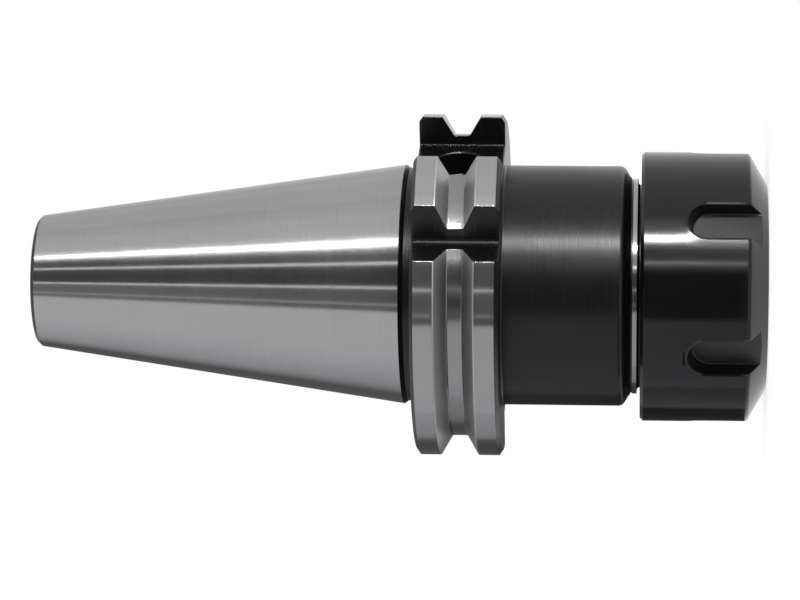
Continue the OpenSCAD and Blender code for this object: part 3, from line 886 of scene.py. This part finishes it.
around = np.linspace(0, 2 * math.pi, STOP_POINTS, endpoint=False)
# how far from the axis the hexagon's wall is in each of these directions
hexagon = HEX_HALF / np.cos((around + math.pi / 6) % (math.pi / 3) - math.pi / 6)
outline = [
    (HOLE_R, DRILL_END), (hexagon * 0.99, SOCKET_END), (hexagon, SOCKET_END - 0.1),
    (hexagon, STOP_LOW + 0.2), (hexagon * 1.05, STOP_LOW), (STOP_ROOT_R - ROOT_BREAK, STOP_LOW),
    (STOP_ROOT_R, STOP_LOW + ROOT_BREAK), (STOP_ROOT_R, STOP_TOP - ROOT_BREAK),
    (STOP_ROOT_R - ROOT_BREAK, STOP_TOP), (HOLE_R + HOLE_BREAK, STOP_TOP),
    (HOLE_R, STOP_TOP - HOLE_BREAK), (HOLE_R, DRILL_END),
]
bm = bmesh.new()
skin(bm, [circle(r, z, STOP_POINTS) for r, z in outline])
bmesh.ops.recalc_face_normals(bm, faces=bm.faces)
finished(
    "stop_screw_turned", bm, [black_body], "stop", "stop_screw", crease=28.0
)
thread(
    "stop_screw_thread", black_body, "stop", "stop_screw",
    root_r=STOP_ROOT_R, pitch=FINE_PITCH, low=STOP_LOW + 0.7, high=STOP_TOP - 0.7,
    depth=FINE_DEPTH, outward=1, widths=FINE_WIDTHS,
)

# THE CAMERA
# The photograph lies on its side: the shank points left, and the deep drive slot looks up.

camera = bpy.data.objects.new("camera", bpy.data.cameras.new("camera"))
bpy.context.scene.collection.objects.link(camera)
bpy.context.scene.camera = camera
camera.data.sensor_width = 36.0
camera.data.lens = 159.125

# The focal length in the picture's pixels, the distance in mm and the height that it aims at
FOCAL_PX, DISTANCE, AIM_Z, AIM_OFF_PX = 3536.1, 661.5, 68.07, 16.12
VIEW_TURN, TILT, ROLL = math.radians(28.5), math.radians(4.128), math.radians(0.562)
out = Vector((math.sin(VIEW_TURN), -math.cos(VIEW_TURN), 0))
up = Vector((math.cos(VIEW_TURN), math.sin(VIEW_TURN), 0))
nutwards = Vector((0, 0, -1))
right = nutwards * math.cos(TILT) - out * math.sin(TILT)
back = nutwards * math.sin(TILT) + out * math.cos(TILT)
right, up = (
    right * math.cos(ROLL) + up * math.sin(ROLL), up * math.cos(ROLL) - right * math.sin(ROLL)
)
aim = Vector((0, 0, AIM_Z)) - up * AIM_OFF_PX * DISTANCE / FOCAL_PX
turned = Matrix((right, up, back)).transposed().to_4x4()
camera.matrix_world = Matrix.Translation((aim + back * DISTANCE) * MM) @ turned

# THE LIGHT
# A white room, with a dark screen opposite the holder's near side. A long lamp with a soft glow
# stands behind the screen's upper edge, thin gaps in the screen let the room through, and the
# room is darker under the holder and a little darker above it.

world = bpy.data.worlds.new("white_room")
bpy.context.scene.world = world
world.use_nodes = True
world.node_tree.nodes["Background"].inputs[0].default_value = (1, 1, 1, 1)
world.node_tree.nodes["Background"].inputs[1].default_value = 1.0
# The camera's direction round the axis, in degrees
VIEW_ANGLE = -61.5
# The screen stands farthest out, then its pale fields, and the lamps and gaps in front of them
SCREEN_R, FIELD_R, LAMP_R = 1200.0, 1195.0, 1190.0
# Points along each edge of a panel
EDGE_POINTS = 13


def panel(name, edges, radius=SCREEN_R, tint=(1.0, 1.0, 1.0)):
    """A panel curved round the axis, seen only in reflections. Each of its edges is (height in
    mm, first angle, last angle, glow), with the angles counted from the camera's side. A second
    glow is for the last angle, and the panel fades between its corners."""
    bm = bmesh.new()
    glow = bm.verts.layers.float.new("glow")
    rows, glows = [], []
    for z, first, last, *strength in edges:
        turns = np.radians(VIEW_ANGLE + np.linspace(first, last, EDGE_POINTS))
        rows.append([(radius * math.cos(t), radius * math.sin(t), z) for t in turns])
        glows.append(np.linspace(strength[0], strength[-1], EDGE_POINTS))
    for row, values in zip(skin(bm, rows, closed=False), glows):
        for vert, value in zip(row, values):
            vert[glow] = value
    mesh = bpy.data.meshes.new(name)
    bm.to_mesh(mesh)
    bm.free()
    made, tree, shader = shaded(name)
    power = node(tree, "ShaderNodeAttribute", attribute_name="glow")
    light = node(
        tree, "ShaderNodeEmission", {"Color": (*tint, 1.0), "Strength": power.outputs["Fac"]}
    )
    tree.links.new(light.outputs[0], tree.nodes["Material Output"].inputs[0])
    mesh.materials.append(made)
    piece = bpy.data.objects.new(name, mesh)
    bpy.context.scene.collection.objects.link(piece)
    piece.visible_camera = False
    piece.visible_diffuse = False
    piece.visible_shadow = False


def band(low, high, *angles_and_glow):
    """The two edges of a panel that is alike from its low edge to its high one."""
    return [(low, *angles_and_glow), (high, *angles_and_glow)]


# the screen, its paler fields and its gaps
panel(
    "screen",
    [(-450, -29, 13.5, 0.04), (60, -28.5, 13.5, 0.04), (100, -27, 15, 0.04), (140, -27, 22, 0.04),
     (400, -28, 36, 0.04), (1500, -28.5, 36, 0.04)],
)
panel("screen_body", band(55, 95, -24, 33, 0.4, 0.8), FIELD_R)
panel("screen_front", band(-900, -200, -28, 36, 0.7), FIELD_R)
panel("screen_pale", band(600, 1500, -28, -5, 0.38), FIELD_R)
panel("gap_high", band(150, 1500, 19.6, 20.8, 3.5), LAMP_R)
panel("gap_middle", band(95, 1500, -4.9, -3.7, 3.0), LAMP_R)
panel("gap_low", band(95, 1500, -21.6, -20.8, 1.6), LAMP_R)

# the long lamp, which is brightest beside the nut, its glow on both sides and a small lamp
panel(
    "lamp_nut",
    [(-100, 37.9, 42.6, 100.0), (15, 37.9, 42.6, 100.0), (42, 37.9, 42.6, 170.0),
     (52, 38.0, 42.8, 120.0), (62, 38.2, 43.0, 36.0), (88, 38.6, 43.4, 8.0)],
    LAMP_R,
)
panel("lamp_flange", band(88, 200, 38.3, 42.3, 0.8), LAMP_R)
panel(
    "lamp_shank",
    band(200, 500, 38.8, 42.3, 4.8) + band(600, 1500, 38.8, 42.2, 3.6),
    LAMP_R,
)
panel("lamp_front", band(-900, -100, 36, 46, 22.0), LAMP_R)
panel("glow_below", band(-100, 60, 31, 37.9, 0.6, 5.0) + [(85, 31, 38.6, 0.3, 0.6)], LAMP_R)
panel("glow_above", band(-100, 55, 42.6, 62, 3.2, 0.95) + [(85, 43.4, 62, 1.1, 0.95)], LAMP_R)
panel("lamp_middle", band(-60, 100, 18.6, 19.8, 17.0), LAMP_R)

# the room's darker parts under the holder, which are a little blue
panel(
    "low_nut",
    band(-900, -80, -95, -29, 0.06) + band(-50, 22, -95, -29, 0.835),
    tint=(1.0, 1.0, 1.12),
)
panel("shade_nut", band(-450, 105, -126, -95, 0.48))
panel("shade_nut_under", band(-450, 105, -178, -126, 0.06))
panel(
    "shade_flange",
    band(105, 550, -118, -75, 0.6, 1.0) + [(610, -118, -75, 0.72, 0.95)]
    + band(700, 1500, -118, -75, 0.85, 0.97),
    tint=(1.0, 0.99, 1.05),
)
panel(
    "shade_flange_low",
    band(105, 550, -136, -118, 0.17, 0.6) + [(610, -136, -118, 0.45, 0.72)]
    + band(700, 1500, -136, -118, 0.7, 0.85),
    tint=(1.0, 0.99, 1.05),
)
panel(
    "shade_flange_under",
    band(105, 550, -178, -136, 0.12, 0.17) + [(610, -178, -136, 0.15, 0.45)]
    + band(700, 1500, -178, -136, 0.4, 0.7),
)

# the room's slightly darker parts above it
panel("high_flange", band(110, 1500, 76, 112, 0.9))
panel("high_streak", band(300, 1500, 89.3, 93.3, 0.76), LAMP_R)
panel("higher_flange", band(110, 1500, 112, 136, 0.86))
panel("highest_flange", band(110, 1500, 136, 178, 0.72))

# THE FLOOR
# A round white table just under the nut. It shows as the white room, and keeps a faint shadow.

FLOOR_R, FLOOR_DROP = 80.0, 0.02
bm = bmesh.new()
bmesh.ops.create_circle(
    bm, cap_ends=True, segments=96, radius=FLOOR_R * MM,
    matrix=Matrix.Translation((0, 0, -FLOOR_DROP * MM)),
)
floor_mesh = bpy.data.meshes.new("floor")
bm.to_mesh(floor_mesh)
bm.free()
floor = bpy.data.objects.new("floor", floor_mesh)
bpy.context.scene.collection.objects.link(floor)
white, tree, shader = shaded("floor_white")
# reflections see the room's white in it, and the camera sees matt white with a glow of its own
seen = node(tree, "ShaderNodeLightPath")
mirrored = node(
    tree, "ShaderNodeMath",
    {0: seen.outputs["Is Glossy Ray"], 1: seen.outputs["Is Transmission Ray"]}, operation="MAXIMUM",
)
matt = node(tree, "ShaderNodeBsdfDiffuse", {"Color": (0.3, 0.3, 0.3, 1)})
base_glow = node(tree, "ShaderNodeEmission", {"Strength": 0.78})
lit = node(tree, "ShaderNodeAddShader", {0: matt.outputs[0], 1: base_glow.outputs[0]})
room = node(tree, "ShaderNodeEmission", {"Strength": 1.0})
mixed = node(
    tree, "ShaderNodeMixShader", {0: mirrored.outputs[0], 1: lit.outputs[0], 2: room.outputs[0]}
)
tree.links.new(mixed.outputs[0], tree.nodes["Material Output"].inputs[0])
floor_mesh.materials.append(white)

bpy.context.scene.view_settings.view_transform = "Standard"
